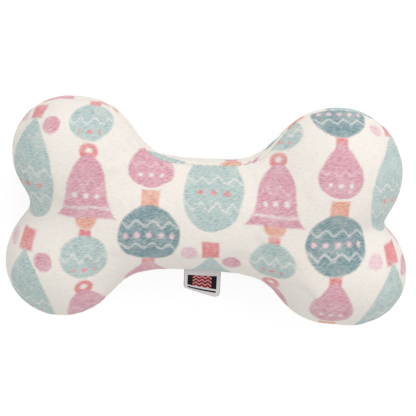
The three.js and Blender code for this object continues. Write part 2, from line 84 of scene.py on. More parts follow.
away = Vector((0, math.sin(view_tilt), math.cos(view_tilt)))
level = Vector((0, math.cos(view_tilt), -math.sin(view_tilt)))
picture_right = math.cos(view_roll) * Vector((1, 0, 0)) + math.sin(view_roll) * level
picture_up = math.cos(view_roll) * level - math.sin(view_roll) * Vector((1, 0, 0))
aim = Vector((0, 0, aim_height)) + aim_right * picture_right + aim_up * picture_up
camera_data = bpy.data.cameras.new("camera")
camera_data.sensor_width = sensor_width
camera_data.lens = sensor_width * view_distance / picture_width
camera = put_in_scene("camera", camera_data)
camera.matrix_world = Matrix((picture_right, picture_up, away)).transposed().to_4x4()
camera.location = aim + view_distance * away
scene.camera = camera


def set_inputs(node, values):
    for name, value in values.items():
        node.inputs[name].default_value = value


def add_node(tree, kind, values):
    node = tree.nodes.new(kind)
    set_inputs(node, values)
    return node


def seen_directly(tree):
    """A node output that is 1 for rays that show a surface, and 0 for rays that only light another."""
    path = tree.nodes.new("ShaderNodeLightPath")
    seen = path.outputs["Is Camera Ray"]
    for ray in ("Is Glossy Ray", "Is Transmission Ray"):
        either = tree.nodes.new("ShaderNodeMath")
        either.operation = "MAXIMUM"
        tree.links.new(seen, either.inputs[0])
        tree.links.new(path.outputs[ray], either.inputs[1])
        seen = either.outputs[0]
    return seen


def link_mix(tree, factor, first, second, target):
    """Mixes two shaders by a factor into a target socket."""
    mix = tree.nodes.new("ShaderNodeMixShader")
    tree.links.new(factor, mix.inputs[0])
    tree.links.new(first, mix.inputs[1])
    tree.links.new(second, mix.inputs[2])
    tree.links.new(mix.outputs[0], target)


ambient_light = 0.78
white = (1, 1, 1, 1)
world = bpy.data.worlds.new("studio")
world.use_nodes = True
world_tree = world.node_tree
world_tree.nodes.clear()
room = add_node(world_tree, "ShaderNodeBackground", {"Color": white, "Strength": ambient_light})
backdrop = add_node(world_tree, "ShaderNodeBackground", {"Color": white})
world_output = world_tree.nodes.new("ShaderNodeOutputWorld")
link_mix(world_tree, seen_directly(world_tree), room.outputs[0], backdrop.outputs[0],
         world_output.inputs["Surface"])
scene.world = world

lamp_data = bpy.data.lights.new("soft_lamp", "AREA")
lamp_data.shape = "RECTANGLE"
lamp_data.size = 1.1
lamp_data.size_y = 0.8
lamp_data.energy = 4.2
lamp = put_in_scene("soft_lamp", lamp_data)
lamp.location = (0.35, 0.75, 0.7)
lamp_aim = Vector((0, 0, 0.03))
lamp.rotation_euler = (lamp_aim - lamp.location).to_track_quat("-Z", "Y").to_euler()

floor_half = 2.0
floor_drop = 0.0002
floor_glow = 0.76
floor_shade = (0.34, 0.34, 0.34, 1)
floor_grey = (0.82, 0.82, 0.81, 1)
floor_mesh = bpy.data.meshes.new("floor")
floor_signs = ((-1, -1), (1, -1), (1, 1), (-1, 1))
floor_corners = [(sx * floor_half, sy * floor_half, -floor_drop) for sx, sy in floor_signs]
floor_mesh.from_pydata(floor_corners, [], [(0, 1, 2, 3)])
floor = put_in_scene("floor", floor_mesh)
floor_paint = bpy.data.materials.new("floor_paint")
floor_paint.use_nodes = True
floor_tree = floor_paint.node_tree
floor_tree.nodes.clear()
matt = add_node(floor_tree, "ShaderNodeBsdfDiffuse", {"Color": floor_grey})
shade = add_node(floor_tree, "ShaderNodeBsdfDiffuse", {"Color": floor_shade})
glow = add_node(floor_tree, "ShaderNodeEmission", {"Strength": floor_glow})
shown_floor = floor_tree.nodes.new("ShaderNodeAddShader")
floor_tree.links.new(shade.outputs[0], shown_floor.inputs[0])
floor_tree.links.new(glow.outputs[0], shown_floor.inputs[1])
floor_output = floor_tree.nodes.new("ShaderNodeOutputMaterial")
link_mix(floor_tree, seen_directly(floor_tree), matt.outputs[0], shown_floor.outputs[0],
         floor_output.inputs["Surface"])
floor_mesh.materials.append(floor_paint)


# The stuffed bone, which both fleece panels share. Its shank and knobs are rounded bars that run softly
# into each other. The form is measured from the middle of the shank on the seam plane: the squeaker
# stands on that middle, and the label's tail lies in that plane.
crown_low, crown_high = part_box("squeaker_crown")
tail_low, tail_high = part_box("label_tail")
heart = np.array(((crown_low.x + crown_high.x) / 2, (crown_low.y + crown_high.y) / 2,
                  (tail_low.z + tail_high.z) / 2))
shank_half_length = 0.055
bars = {
    "shank": {"x": 0, "y": 0, "radius": 0.0324, "reach": shank_half_length, "depth": 0.028},
    "upper_left": {"x": -0.0767, "y": 0.0341, "radius": 0.0294, "reach": 0.0046, "depth": 0.0310},
    "lower_left": {"x": -0.0814, "y": -0.0312, "radius": 0.0312, "reach": 0.0002, "depth": 0.0314},
    "upper_right": {"x": 0.0725, "y": 0.0296, "radius": 0.0349, "reach": 0.0014, "depth": 0.0306},
    "lower_right": {"x": 0.0792, "y": -0.0296, "radius": 0.0295, "reach": 0.0068, "depth": 0.0305},
}
shoulder_blend = 0.010
left_notch_blend = 0.006
right_notch_blend = 0.0025
beyond_bone = 0.3
ray_halvings = 26


def outside_bar(points, x, y, radius, reach, depth):
    past_end = np.maximum(np.abs(points[:, 0] - x) - reach, 0)
    across = np.hypot(past_end, points[:, 1] - y)
    return (np.hypot(across / radius, points[:, 2] / depth) - 1) * radius


def blended(softness, *distances):
    nearest = np.min(distances, axis=0)
    shares = sum(np.exp((nearest - distance) / softness) for distance in distances)
    return nearest - softness * np.log(shares)


def outside_bone(points):
    """How far points lie outside the stuffed form, measured across the bone."""
    gap = {name: outside_bar(points, **bar) for name, bar in bars.items()}
    left = blended(left_notch_blend, gap["upper_left"], gap["lower_left"])
    right = blended(right_notch_blend, gap["upper_right"], gap["lower_right"])
    return blended(shoulder_blend, left, right, gap["shank"])


def slope_of_bone(points):
    """The rise of that distance along X, Y and Z."""
    step = 0.00005
    return np.stack([(outside_bone(points + step * axis) - outside_bone(points - step * axis)) / (2 * step)
                     for axis in np.eye(3)], axis=1)


def onto_bone(points, offset=0.0, rounds=6):
    """Moves points to the form's surface, or to an offset outside it."""
    for _ in range(rounds):
        slope = slope_of_bone(points)
        miss = outside_bone(points) - offset
        points = points - slope * (miss / (slope ** 2).sum(1))[:, None]
    return points


def ray_through(turn, elevation):
    """Starts on the spine and directions of rays. A turn of 0 to 1 runs along the lower edge, to 2 round
    the right end, to 3 back along the upper edge and to 4 round the left end."""
    lap = np.floor(turn).astype(int) % 4
    share = turn % 1
    along = shank_half_length * (2 * share - 1)
    end = np.full_like(share, shank_half_length)
    x = np.choose(lap, (along, end, -along, -end))
    quarter = np.full_like(share, math.pi / 2)
    heading = np.choose(lap, (-quarter, (share - 0.5) * math.pi, quarter, (share + 0.5) * math.pi))
    flat = np.cos(elevation)
    start = np.stack((x, np.zeros_like(x), np.zeros_like(x)), axis=1)
    return start, np.stack((flat * np.cos(heading), flat * np.sin(heading), np.sin(elevation)), axis=1)


def cast_out(start, direction):
    """Where rays from inside the form come out of it."""
    near = np.zeros(len(start))
    far = np.full(len(start), beyond_bone)
    for _ in range(ray_halvings):
        middle = (near + far) / 2
        inside = outside_bone(start + direction * middle[:, None]) < 0
        near = np.where(inside, middle, near)
        far = np.where(inside, far, middle)
    return start + direction * far[:, None]


def turn_and_elevation(points):
    """The ray that passes through each point."""
    x, y, z = points.T
    past_end = np.maximum(np.abs(x) - shank_half_length, 0)
    along = (x / shank_half_length + 1) / 2
    edge = np.where(y < 0, along, 3 - along)
    right = 1.5 + np.arctan2(y, past_end) / math.pi
    left = 3.5 - np.arctan2(y, past_end) / math.pi
    turn = np.where(x > shank_half_length, right, np.where(x < -shank_half_length, left, edge))
    return turn % 4, np.arctan2(z, np.hypot(past_end, y))


def smooth_step(value, low, high):
    share = np.clip((value - low) / (high - low), 0, 1)
    return share * share * (3 - 2 * share)


def quads_between(lanes, closed):
    """Quads between neighbouring lanes of vertex numbers. A closed lane joins its end to its start."""
    here = np.asarray(lanes)
    after = np.roll(here, -1, axis=1)
    quads = np.stack((here[:-1], after[:-1], after[1:], here[1:]), axis=2)
    if not closed:
        quads = quads[:, :-1]
    return quads.reshape(-1, 4).tolist()


def new_piece(name, verts, faces):
    """A smooth-shaded mesh object at the origin."""
    mesh = bpy.data.meshes.new(name)
    mesh.from_pydata(np.asarray(verts).tolist(), [], faces)
    mesh.validate()
    mesh.shade_smooth()
    return put_in_scene(name, mesh)


def as_plain_mesh(piece):
    """Replaces an object's mesh by what its modifiers make of it, and removes them."""
    evaluated = piece.evaluated_get(bpy.context.evaluated_depsgraph_get())
    plain = bpy.data.meshes.new_from_object(evaluated)
    piece.modifiers.clear()
    old = piece.data
    piece.data = plain
    bpy.data.meshes.remove(old)


def places_of(mesh):
    flat = np.empty(len(mesh.vertices) * 3)
    mesh.vertices.foreach_get("co", flat)
    return flat.reshape(-1, 3)


def mend_shell(piece, weld=None):
    """Joins vertices closer than the weld distance, if one is given, and turns all faces outwards."""
    shell = bmesh.new()
    shell.from_mesh(piece.data)
    if weld:
        bmesh.ops.remove_doubles(shell, verts=shell.verts, dist=weld)
    bmesh.ops.recalc_face_normals(shell, faces=shell.faces)
    shell.to_mesh(piece.data)
    shell.free()


def even_quads(piece, size):
    """Makes a closed mesh anew from quads of one size."""
    remesh = piece.modifiers.new("even_quads", "REMESH")
    remesh.mode = "VOXEL"
    remesh.voxel_size = size
    as_plain_mesh(piece)


# A closed skin of even quads lies a little inside the form. Held along the seam, it swells against its
# stuffing, as the sewn fleece does, and then it is refined.
skin_turns = 160
skin_bands = 32
skin_quad = 0.0024
skin_weld = 0.0003
skin_setback = -0.0012
skin_cloth = {
    "quality": 6, "mass": 0.25, "tension_stiffness": 16, "compression_stiffness": 16, "shear_stiffness": 8,
    "bending_stiffness": 0.4, "shrink_min": -0.015, "use_pressure": True, "uniform_pressure_force": 4.0,
}
swell_frames = 20
swell_limit = 0.0032
skin_relief = 0.0008
seam_hold = 0.0030
seam_roll_height = 0.008
seam_roll_ease = 0.026
turning_gap_x = 0.001
turning_gap_half = 0.026
flat_edge_y = 0.02


def seam_level(points):
    """How far over the seam plane the seam lies. It rolls to the front along the hand-closed edge."""
    beside = np.abs(points[:, 0] - turning_gap_x)
    roll = 1 - smooth_step(beside, turning_gap_half, turning_gap_half + seam_roll_ease)
    return seam_roll_height * roll * np.clip(points[:, 1] / flat_edge_y, 0, 1)


def first_skin():
    turns = np.arange(skin_turns) * 4 / skin_turns
    elevations = np.linspace(-math.pi / 2, math.pi / 2, skin_bands + 1)
    grid_turn, grid_elevation = (grid.ravel() for grid in np.meshgrid(turns, elevations))
    verts = cast_out(*ray_through(grid_turn, grid_elevation))
    bands = np.arange(len(verts)).reshape(skin_bands + 1, skin_turns)
    body = new_piece("stuffed_skin", verts, quads_between(bands, closed=True))
    mend_shell(body, skin_weld)
    even_quads(body, skin_quad)
    return body


def swell(body):
    """Lets the skin swell against its stuffing, and caps how far it moves."""
    before = places_of(body.data)
    held = body.vertex_groups.new(name="seam")
    near_seam = np.abs(before[:, 2] - seam_level(before)) < seam_hold
    held.add(np.flatnonzero(near_seam).tolist(), 1.0, "REPLACE")
    cloth = body.modifiers.new("stuffing", "CLOTH")
    for name, value in skin_cloth.items():
        setattr(cloth.settings, name, value)
    cloth.settings.vertex_group_mass = held.name
    cloth.settings.effector_weights.gravity = 0
    for step in range(1, swell_frames + 1):
        scene.frame_set(step)
    as_plain_mesh(body)
    scene.frame_set(1)
    moved = places_of(body.data) - before
    length = np.linalg.norm(moved, axis=1)
    moved *= (np.minimum(length, swell_limit) / np.maximum(length, 1e-9))[:, None]
    body.data.vertices.foreach_set("co", (before + moved).ravel())


stuffed_skin = first_skin()
even_places = onto_bone(places_of(stuffed_skin.data))
held_back = smooth_step(np.abs(even_places[:, 2] - seam_level(even_places)), seam_hold, 4 * seam_hold)
even_places += slope_of_bone(even_places) * (skin_setback * held_back)[:, None]
stuffed_skin.data.vertices.foreach_set("co", even_places.ravel())
swell(stuffed_skin)
swollen_places = places_of(stuffed_skin.data)
swollen = outside_bone(swollen_places)
clear_of_seam = held_back > 0.5
swollen -= np.median(swollen[clear_of_seam]) * held_back
swollen = np.clip(swollen, -skin_relief, skin_relief)
stuffed_skin.data.vertices.foreach_set("co", onto_bone(swollen_places, swollen).ravel())
finer = stuffed_skin.modifiers.new("finer", "SUBSURF")
finer.levels = 1
finer.render_levels = 1
as_plain_mesh(stuffed_skin)


# The two fleece panels. They are cut from short-pile printed fleece, sewn inside out and turned, so that
# their edges roll into a groove at the seam and the seam allowances point inwards.
fleece_wall = 0.002
groove_half_width = 0.0016
groove_depth = 0.002
seam_gap = 0.00015
allowance = 0.006
allowance_thickness = 0.0015
label_gap = 0.0005
label_gap_ease = 0.002
pucker_reach = 0.0045
machine_pucker = 0.00012
machine_pucker_size = 0.0024
hand_pucker = 0.00035
hand_stitch = 0.004
lump_height = 0.0007
lump_size = 0.022
lump_start = Vector((7.3, 2.1, 4.6))
lump_margin = 0.012

seam_cuts = [0, 0.0005, 0.001, groove_half_width, 0.0026]
cut_snap = 0.0002
skin_bmesh = bmesh.new()
skin_bmesh.from_mesh(stuffed_skin.data)
for vert in skin_bmesh.verts:
    vert.co.z -= seam_level(np.array([vert.co]))[0]
for cut in sorted({sign * cut for cut in seam_cuts for sign in (-1, 1)}):
    everything = skin_bmesh.verts[:] + skin_bmesh.edges[:] + skin_bmesh.faces[:]
    bmesh.ops.bisect_plane(
        skin_bmesh, geom=everything, dist=cut_snap, plane_co=(0, 0, cut), plane_no=(0, 0, 1))
skin_bmesh.verts.index_update()
skin_verts = np.array([vert.co for vert in skin_bmesh.verts])
over_seam = skin_verts[:, 2].copy()
skin_verts[:, 2] += seam_level(skin_verts)
skin_faces = [[vert.index for vert in face.verts] for face in skin_bmesh.faces]
face_side = [1 if face.calc_center_median().z > 0 else -1 for face in skin_bmesh.faces]
skin_bmesh.free()
bpy.data.objects.remove(stuffed_skin)

# Lengths over the surface, from the ridge of each panel to the seam, for the flat cut of the cloth.
cut_turns = 320
cut_steps = 120
turn_line = np.linspace(0, 4, cut_turns + 1)
rise_line = np.linspace(-math.pi / 2, math.pi / 2, cut_steps + 1)
turn_grid, rise_grid = np.meshgrid(turn_line, rise_line, indexing="ij")
surface_grid = cast_out(*ray_through(turn_grid.ravel(), rise_grid.ravel()))
surface_grid = surface_grid.reshape(cut_turns + 1, cut_steps + 1, 3)
climbed = np.zeros((cut_turns + 1, cut_steps + 1))
climbed[:, 1:] = np.cumsum(np.linalg.norm(np.diff(surface_grid, axis=1), axis=2), axis=1)


def flat_cut(points, side):
    """Where points of a panel lie on the flat cloth, in metres from the middle of the shank."""
    turn, elevation = turn_and_elevation(points)
    row = np.clip(turn / 4 * cut_turns, 0, cut_turns - 1e-6)
    column = np.clip((elevation / math.pi + 0.5) * cut_steps, 0, cut_steps - 1e-6)
    i, j = row.astype(int), column.astype(int)
    p, q = row - i, column - j
    run = ((1 - p) * ((1 - q) * climbed[i, j] + q * climbed[i, j + 1])
           + p * ((1 - q) * climbed[i + 1, j] + q * climbed[i + 1, j + 1]))
    if side > 0:
        run = (1 - p) * climbed[i, -1] + p * climbed[i + 1, -1] - run
    start, heading = ray_through(turn, np.zeros_like(turn))
    return start[:, :2] + heading[:, :2] * run[:, None]


def rim_loop(faces):
    """The open rim of a panel, as one loop of vertex indices in the order that the faces run."""
    sides = set()
    for face in faces:
        for a, b in zip(face, face[1:] + face[:1]):
            if (b, a) in sides:
                sides.remove((b, a))
            else:
                sides.add((a, b))
    following = dict(sides)
    loop = [min(following)]
    while following[loop[-1]] != loop[0]:
        loop.append(following[loop[-1]])
    assert len(loop) == len(following), "the panel has more than one open rim"
    return loop


def level_inwards(points):
    slope = slope_of_bone(points)
    slope[:, 2] = 0
    return -slope / np.linalg.norm(slope, axis=1)[:, None]


def vertex_normals(verts, faces):
    normals = np.zeros_like(verts)
    for face in faces:
        a, b, c = verts[face[0]], verts[face[1]], verts[face[-1]]
        normals[face] += np.cross(b - a, c - a)
    return normals / np.linalg.norm(normals, axis=1)[:, None]


def keep_flat_cut(piece, places):
    """Keeps where each vertex lies on the flat cloth, as a UV map."""
    corners = np.empty(len(piece.data.loops), dtype=int)
    piece.data.loops.foreach_get("vertex_index", corners)
    piece.data.uv_layers.new(name="flat_cut").data.foreach_set("uv", places[corners].ravel())


def panel(name, side):
    """A panel as a closed wall of outside, groove, allowance and inside. Its UV map is its flat cut."""
    faces = [face for face, face_on in zip(skin_faces, face_side) if face_on == side]
    used = sorted({vert for face in faces for vert in face})
    fresh = {vert: i for i, vert in enumerate(used)}
    faces = [[fresh[vert] for vert in face] for face in faces]
    base = skin_verts[used]
    over = np.abs(over_seam[used])
    count = len(base)
    cloth_place = flat_cut(base, side)
    rim = rim_loop(faces)
    over[rim] = 0

    # The edge rolls into the groove, opens round the label and puckers at the stitches.
    inwards = level_inwards(base)
    share = np.clip(over / groove_half_width, 0, 1)
    rolled = groove_depth * (1 - np.sqrt(1 - (1 - share) ** 2))
    label_low, label_high = tail_low.x - heart[0], tail_high.x - heart[0]
    beside_label = np.maximum(label_low - base[:, 0], base[:, 0] - label_high)
    by_label = (1 - smooth_step(beside_label, 0, label_gap_ease)) * (base[:, 1] < 0)
    fading = np.exp(-over / pucker_reach)
    opened = (seam_gap + label_gap * by_label) * np.exp(-over / groove_half_width)
    beside_gap = np.abs(base[:, 0] - turning_gap_x)
    by_hand = 1 - smooth_step(beside_gap, turning_gap_half, turning_gap_half + hand_stitch)
    by_hand *= base[:, 1] > 0
    pull = hand_pucker * by_hand * np.cos(2 * math.pi * beside_gap / hand_stitch)
    pull += machine_pucker * np.array([noise.noise(Vector(point) / machine_pucker_size) for point in base])
    lump = np.array([noise.noise(Vector(point) / lump_size + lump_start) for point in base])
    lump *= lump_height * smooth_step(over, groove_half_width, lump_margin)
    outer = base + inwards * (rolled + pull * fading)[:, None]
    outer[:, 2] += side * opened
    outer += vertex_normals(outer, faces) * lump[:, None]
    lowest = -heart[2]
    outer[:, 2] = np.maximum(outer[:, 2], lowest)

    # The inside follows the outside, and ends at the root of the turned-in allowance.
    seam_height = seam_level(base)
    flange_top = seam_gap + label_gap * by_label + allowance_thickness
    near_rim = 1 - smooth_step(over, 0, 2 * groove_half_width)
    inner = outer - vertex_normals(outer, faces) * fleece_wall
    root = base + inwards * (groove_depth + allowance_thickness)
    root[:, 2] = seam_height + side * flange_top
    inner += (root - inner) * near_rim[:, None]
    end_low = base[rim] + inwards[rim] * (groove_depth + allowance)
    end_low[:, 2] = outer[rim, 2]
    end_high = end_low.copy()
    end_high[:, 2] = inner[rim, 2]

    verts = np.concatenate((outer, inner, end_low, end_high)) + heart
    walls = faces + [[count + vert for vert in reversed(face)] for face in faces]
    rings = [
        rim,
        [2 * count + i for i in range(len(rim))],
        [2 * count + len(rim) + i for i in range(len(rim))],
        [count + vert for vert in rim],
    ]
    piece = new_piece(name, verts, walls + quads_between(rings[::-1], closed=True))
    keep_flat_cut(piece, np.concatenate((cloth_place, cloth_place, cloth_place[rim], cloth_place[rim])))
    return piece


front_fleece = panel("front_fleece", 1)
back_fleece = panel("back_fleece", -1)


class Amount:
    """A number that varies over a surface. Each sum with it adds a Math node to its material."""

    def __init__(self, tree, socket):
        self.tree = tree
        self.socket = socket

    def math(self, operation, *others, clamp=False):
        node = self.tree.nodes.new("ShaderNodeMath")
        node.operation = operation
        node.use_clamp = clamp
        for entry, value in zip(node.inputs, (self, *others)):
            if isinstance(value, Amount):
                self.tree.links.new(value.socket, entry)
            else:
                entry.default_value = value
        return Amount(self.tree, node.outputs[0])

    def __add__(self, other):
        return self.math("ADD", other)

    def __sub__(self, other):
        return self.math("SUBTRACT", other)

    def __mul__(self, other):
        return self.math("MULTIPLY", other)

    def __truediv__(self, other):
        return self.math("DIVIDE", other)

    def __abs__(self):
        return self.math("ABSOLUTE")

    def length_with(self, other):
        return (self * self + other * other).math("SQRT")

    def within(self, softness):
        """1 well inside a border, where this distance is below 0, and 0 well outside it."""
        return (self * (-1 / softness)).math("ADD", 0.5, clamp=True)


def linear(red, green, blue):
    """A colour as it looks on a screen, 0 to 255, for a shader socket."""
    shown = (value / 255 for value in (red, green, blue))
    lit = [share / 12.92 if share < 0.04045 else ((share + 0.055) / 1.055) ** 2.4 for share in shown]
    return lit + [1]


class Layers:
    """The colour of a surface: a ground, with one colour after the other laid or printed over it."""

    def __init__(self, tree, ground):
        self.tree = tree
        self.colour = ground
        self.inked = None

    def print(self, factor, colour):
        self.inked = self.inked.math("MAXIMUM", factor) if self.inked else factor
        self.lay(factor, colour)

    def lay(self, factor, colour, way="MIX"):
        mix = self.tree.nodes.new("ShaderNodeMix")
        mix.data_type = "RGBA"
        mix.blend_type = way
        self.tree.links.new(factor.socket, mix.inputs["Factor"])
        under, over = (entry for entry in mix.inputs if entry.type == "RGBA")
        for entry, value in ((under, self.colour), (over, colour)):
            if isinstance(value, bpy.types.NodeSocket):
                self.tree.links.new(value, entry)
            else:
                entry.default_value = value
        self.colour = next(outlet for outlet in mix.outputs if outlet.type == "RGBA")


def new_material(name):
    """A material, its node tree and its main shader."""
    material = bpy.data.materials.new(name)
    material.use_nodes = True
    return material, material.node_tree, material.node_tree.nodes["Principled BSDF"]


def noise_over(tree, place, scale, detail=2.0, roughness=0.5, distortion=0.0):
    node = add_node(tree, "ShaderNodeTexNoise", {
        "Scale": scale, "Detail": detail, "Roughness": roughness, "Distortion": distortion})
    tree.links.new(place, node.inputs["Vector"])
    return node


def link_bump(tree, shader, height, strength, distance):
    """Raises a shader's surface by a height from 0 to 1, times a distance."""
    bump = add_node(tree, "ShaderNodeBump", {"Strength": strength, "Distance": distance})
    tree.links.new(height, bump.inputs["Height"])
    tree.links.new(bump.outputs["Normal"], shader.inputs["Normal"])


def flat_place(tree):
    """Where a point lies on the flat cloth."""
    cut_map = tree.nodes.new("ShaderNodeUVMap")
    cut_map.uv_map = "flat_cut"
    return cut_map.outputs[0]


def split(tree, socket):
    """The first two parts of a place or a colour."""
    apart = tree.nodes.new("ShaderNodeSeparateXYZ")
    tree.links.new(socket, apart.inputs[0])
    return Amount(tree, apart.outputs[0]), Amount(tree, apart.outputs[1])


def stretched_place(tree, place, turn, scale):
    mapping = add_node(tree, "ShaderNodeMapping", {"Rotation": (0, 0, turn), "Scale": scale})
    mapping.vector_type = "TEXTURE"
    tree.links.new(place, mapping.inputs["Vector"])
    return mapping.outputs[0]


# The print is made of hanging baubles and bells in three columns, each dropped by a third of the repeat.
# Its sizes are in millimetres, and its edges are soft, because the ink spreads along the pile.
ivory = linear(240, 234, 226)
pink = linear(221, 163, 178)
pale_pink = linear(236, 200, 208)
light_teal = linear(182, 202, 200)
dark_teal = linear(128, 156, 161)
coral = linear(230, 141, 144)
peach = linear(234, 172, 150)
chalk = linear(238, 234, 229)
pile_shade = linear(176, 172, 170)
mm_per_metre = 1000
column_width = 35
repeat_height = 79.5
column_drop = 26.5
ink_edge = 1.5
ink_fray = 1.4
ink_drift = 3.0
wave_ink = 0.65
drop_peak = 0.385
drop_trim = 0.6
pile_turn = math.radians(20)
brushed_turn = math.radians(-38)
pile_stretch = (4.2, 1, 1)


def printed_fleece(name, shift_x, shift_y):
    material, tree, shader = new_material(name)
    place = flat_place(tree)

    # Fibres carry the ink a little way to all sides, so every border wanders.
    fray = split(tree, noise_over(tree, place, scale=1100, detail=2).outputs["Color"])
    drift = split(tree, noise_over(tree, place, scale=60, detail=1).outputs["Color"])
    across, along = (
        length * mm_per_metre + (fine - 0.5) * ink_fray + (wide - 0.5) * ink_drift + shift
        for length, fine, wide, shift in zip(split(tree, place), fray, drift, (shift_x, shift_y)))
    column = (across / column_width).math("FLOOR")
    kind = column.math("FLOORED_MODULO", 3)
    x = across - (column + 0.5) * column_width
    y = (along + kind * column_drop).math("FLOORED_MODULO", repeat_height) - repeat_height / 2
    side = abs(x)

    def in_column(number):
        return kind.math("COMPARE", number, 0.5)

    def disc(middle_x, middle_y, radius):
        return ((x - middle_x).length_with(y - middle_y) - radius).within(ink_edge)

    def block(middle_y, half_width, half_height):
        return (side - half_width).math("MAXIMUM", abs(y - middle_y) - half_height).within(ink_edge)

    def drop(low, high, half_width):
        """A drop, round below and pointed above. Its width peaks a third of the way up."""
        share = ((y - low) / (high - low)).math("ADD", 0, clamp=True)
        width = share.math("SQRT") * (share * -1 + 1) * (half_width / drop_peak)
        return (side - width + drop_trim).within(ink_edge)

    def dots(middle_y, spacing, radius, reach):
        nearest = (x + spacing / 2).math("FLOORED_MODULO", spacing) - spacing / 2
        spot = (nearest.length_with(y - middle_y) - radius).within(ink_edge)
        return spot * (side - reach).within(ink_edge)

    def wave(middle_y, height, length, half_thickness):
        swing = (x * (2 * math.pi / length)).math("SINE") * height
        return (abs(y - swing - middle_y) - half_thickness).within(ink_edge) * wave_ink

    cloth = Layers(tree, ivory)
    first, second, third = in_column(0), in_column(1), in_column(2)

    # First column: a tall light teal drop on a coral cap, and pink discs beside the cap.
    cloth.print(first * block(32, 4.8, 5.4), coral)
    long_drop = first * drop(-36, 29, 17.2)
    cloth.print(long_drop, light_teal)
    cloth.print(long_drop * wave(-6, 2.0, 9, 0.7), chalk)
    cloth.print(long_drop * wave(-22, 2.0, 9, 0.7), chalk)
    cloth.print(long_drop * dots(-14, 7.5, 1.5, 13), coral)
    cloth.print(first * disc(12, 22, 5.4), pink)
    cloth.print(first * disc(-12, 30, 4.4), pale_pink)

    # Second column: a domed pink bell with a peach clapper and a coral ring, and a light teal ball.
    cloth.print(second * disc(0, -4, 6.2), peach)
    cloth.print(second * disc(0, 34.2, 4.8), coral)
    cloth.print(second * disc(0, 34.8, 1.8), ivory)
    fall = ((y * -1 + 32) / 36).math("ADD", 0, clamp=True)
    dome = (fall * -1 + 1).math("POWER", 3) * -1 + 1
    flare = dome.math("SQRT") * 11.6 + fall.math("POWER", 7) * 5.6
    lip = (abs(y - 14) - 18).math("MAXIMUM", side - flare + 0.4)
    bell = second * lip.within(ink_edge)
    cloth.print(bell, pink)
    cloth.print(bell * wave(1.5, 0.0, 9, 0.8), chalk)
    cloth.print(bell * wave(16, 2.2, 8, 0.7), pale_pink)
    cloth.print(bell * dots(8.5, 6, 1.4, 9), chalk)
    cloth.print(second * block(-13.6, 3.2, 3.2), coral)
    small_ball = second * disc(0, -26.6, 12.6)
    cloth.print(small_ball, light_teal)
    cloth.print(small_ball * wave(-27, 2.2, 8, 0.8), chalk)
    cloth.print(small_ball * dots(-34, 6, 1.3, 6), coral)

    # Third column: a dark teal ball on a peach cap, and a pink drop.
    cloth.print(third * block(34, 5.0, 5.0), peach)
    ball = third * disc(0, 13.4, 17.2)
    cloth.print(ball, dark_teal)
    cloth.print(ball * wave(20, 1.6, 9, 0.7), chalk)
    cloth.print(ball * wave(7, 1.6, 9, 0.7), chalk)
    cloth.print(ball * dots(13.5, 6.5, 1.6, 14), pale_pink)
    cloth.print(third * block(-8, 3.4, 4.0), coral)
    short_drop = third * drop(-39, -5.5, 13.2)
    cloth.print(short_drop, pink)
    cloth.print(short_drop * wave(-24, 1.2, 7, 0.7), pale_pink)
    cloth.print(short_drop * dots(-31, 5.5, 1.2, 7), chalk)

    # The pile lies in slanted streaks, brushed the other way in places. Its pale roots show between the
    # inked tips, and its hollows are shaded.
    def streaks(turn):
        along_pile = stretched_place(tree, place, turn, pile_stretch)
        streaked = noise_over(tree, along_pile, scale=1500, detail=2, roughness=0.55)
        return Amount(tree, streaked.outputs["Fac"])

    lying = streaks(pile_turn)
    brushed = streaks(brushed_turn)
    patches = noise_over(tree, place, scale=55, detail=1)
    turned = (Amount(tree, patches.outputs["Fac"]) - 0.56).math("MULTIPLY", 8, clamp=True)
    pile = lying + (brushed - lying) * turned
    strength = cloth.inked * 0.7 + 0.3
    cloth.lay((pile - 0.5).math("MULTIPLY", 1.9, clamp=True) * strength, ivory)
    cloth.lay((pile * -1 + 0.5).math("MULTIPLY", 2.6, clamp=True) * strength, pile_shade, "MULTIPLY")
    washed = noise_over(tree, place, scale=90, detail=2)
    wash = (Amount(tree, washed.outputs["Fac"]) - 0.45).math("MULTIPLY", 0.9, clamp=True)
    cloth.lay(wash * cloth.inked, ivory)
    tree.links.new(cloth.colour, shader.inputs["Base Color"])
    set_inputs(shader, {
        "Roughness": 0.95, "Specular IOR Level": 0.15, "Sheen Weight": 0.2, "Sheen Roughness": 0.6})
    link_bump(tree, shader, pile.socket, strength=0.5, distance=0.0006)
    return material


front_fleece.data.materials.append(printed_fleece("printed_front_fleece", 14, 6))
back_fleece.data.materials.append(printed_fleece("printed_back_fleece", 40, 31))
for piece, node in ((front_fleece, "front_panel"), (back_fleece, "back_panel")):
    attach(piece, "toy_body")
    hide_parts(node)
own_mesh(front_fleece)


# The threads. The machine seam lies at the bottom of the groove, and the turning gap is closed by hand
# with slanted stitches. Both are spun polyester, drawn as stitches set along the seam.
machine_stitch = 0.0025
thread_radius = 0.0003
machine_depth = 0.0009
closing_radius = 0.00025
closing_depth = 0.0003
closing_slant = math.radians(24)
seam_steps = 1600
gap_steps = 200
seam_rounds = 8
machine_stitch_share = 0.47
closing_stitch_share = 0.36
thread_colour = linear(233, 227, 216)
thread_fuzz_colour = linear(246, 242, 235)


def seam_path(turns, depth):
    """Points along the seam at a depth in its groove, and the level outward directions there."""
    points = cast_out(*ray_through(turns, np.zeros_like(turns)))
    for _ in range(seam_rounds):
        points[:, 2] = seam_level(points)
        slope = slope_of_bone(points)[:, :2]
        miss = outside_bone(points) + depth
        points[:, :2] -= slope * (miss / (slope ** 2).sum(1))[:, None]
    return points, -level_inwards(points)


